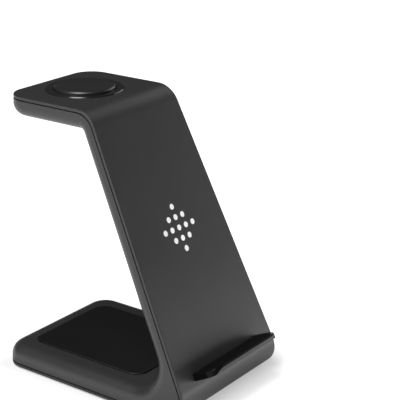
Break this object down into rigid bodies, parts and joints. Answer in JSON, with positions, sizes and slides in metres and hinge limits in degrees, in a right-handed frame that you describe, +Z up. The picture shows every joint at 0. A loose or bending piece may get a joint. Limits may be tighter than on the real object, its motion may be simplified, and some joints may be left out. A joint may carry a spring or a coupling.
{
  "type": "three in one wireless charger stand",
  "caption": "Folded desk stand that charges a phone on a leaning panel with a ledge, a smartwatch on its top platform and an earbud case on its base.",
  "frame": {"origin": "on the desk, under the middle of the stand's box", "axes": "+Z up, +Y towards the back of the base, +X to the right of someone facing the phone panel"},
  "size_m": [0.082, 0.1306, 0.1488],
  "materials": {
    "black_plastic": "fine matt moulding",
    "panel_plastic": "fine matt soft-touch skin",
    "white_mark": "plain white",
    "gloss_black": "gloss moulding",
    "puck_plastic": "satin",
    "soft_pad": "matt silicone",
    "foot_rubber": "matt rubber",
    "copper": "enamelled copper wire",
    "ferrite": "pressed ferrite",
    "carrier_plastic": "moulded",
    "circuit_board": "solder mask",
    "chip_black": "moulded",
    "steel": "plated",
    "nickel": "nickel plate",
    "flex_film": "amber film"
  },
  "bodies": {
    "root": {"rear_shell": "black_plastic", "bottom_cover": "black_plastic", "front_cover": "panel_plastic", "dot_inlays": "white_mark", "phone_ledge": "gloss_black", "watch_bezel": "gloss_black", "watch_puck": "puck_plastic", "ledge_pad": "soft_pad", "earbud_pad": "soft_pad", "rubber_feet": "foot_rubber", "upper_phone_coil": "copper", "lower_phone_coil": "copper", "earbud_coil": "copper", "watch_coil": "copper", "upper_phone_ferrite": "ferrite", "lower_phone_ferrite": "ferrite", "earbud_ferrite": "ferrite", "watch_ferrite": "ferrite", "coil_carrier": "carrier_plastic", "main_board": "circuit_board", "watch_board": "circuit_board", "board_chips": "chip_black", "usb_c_tongue": "chip_black", "carrier_screws": "steel", "board_screws": "steel", "base_screws": "steel", "usb_c_socket": "steel", "watch_magnet": "nickel", "flex_cable": "flex_film"}
  },
  "joints": []
}
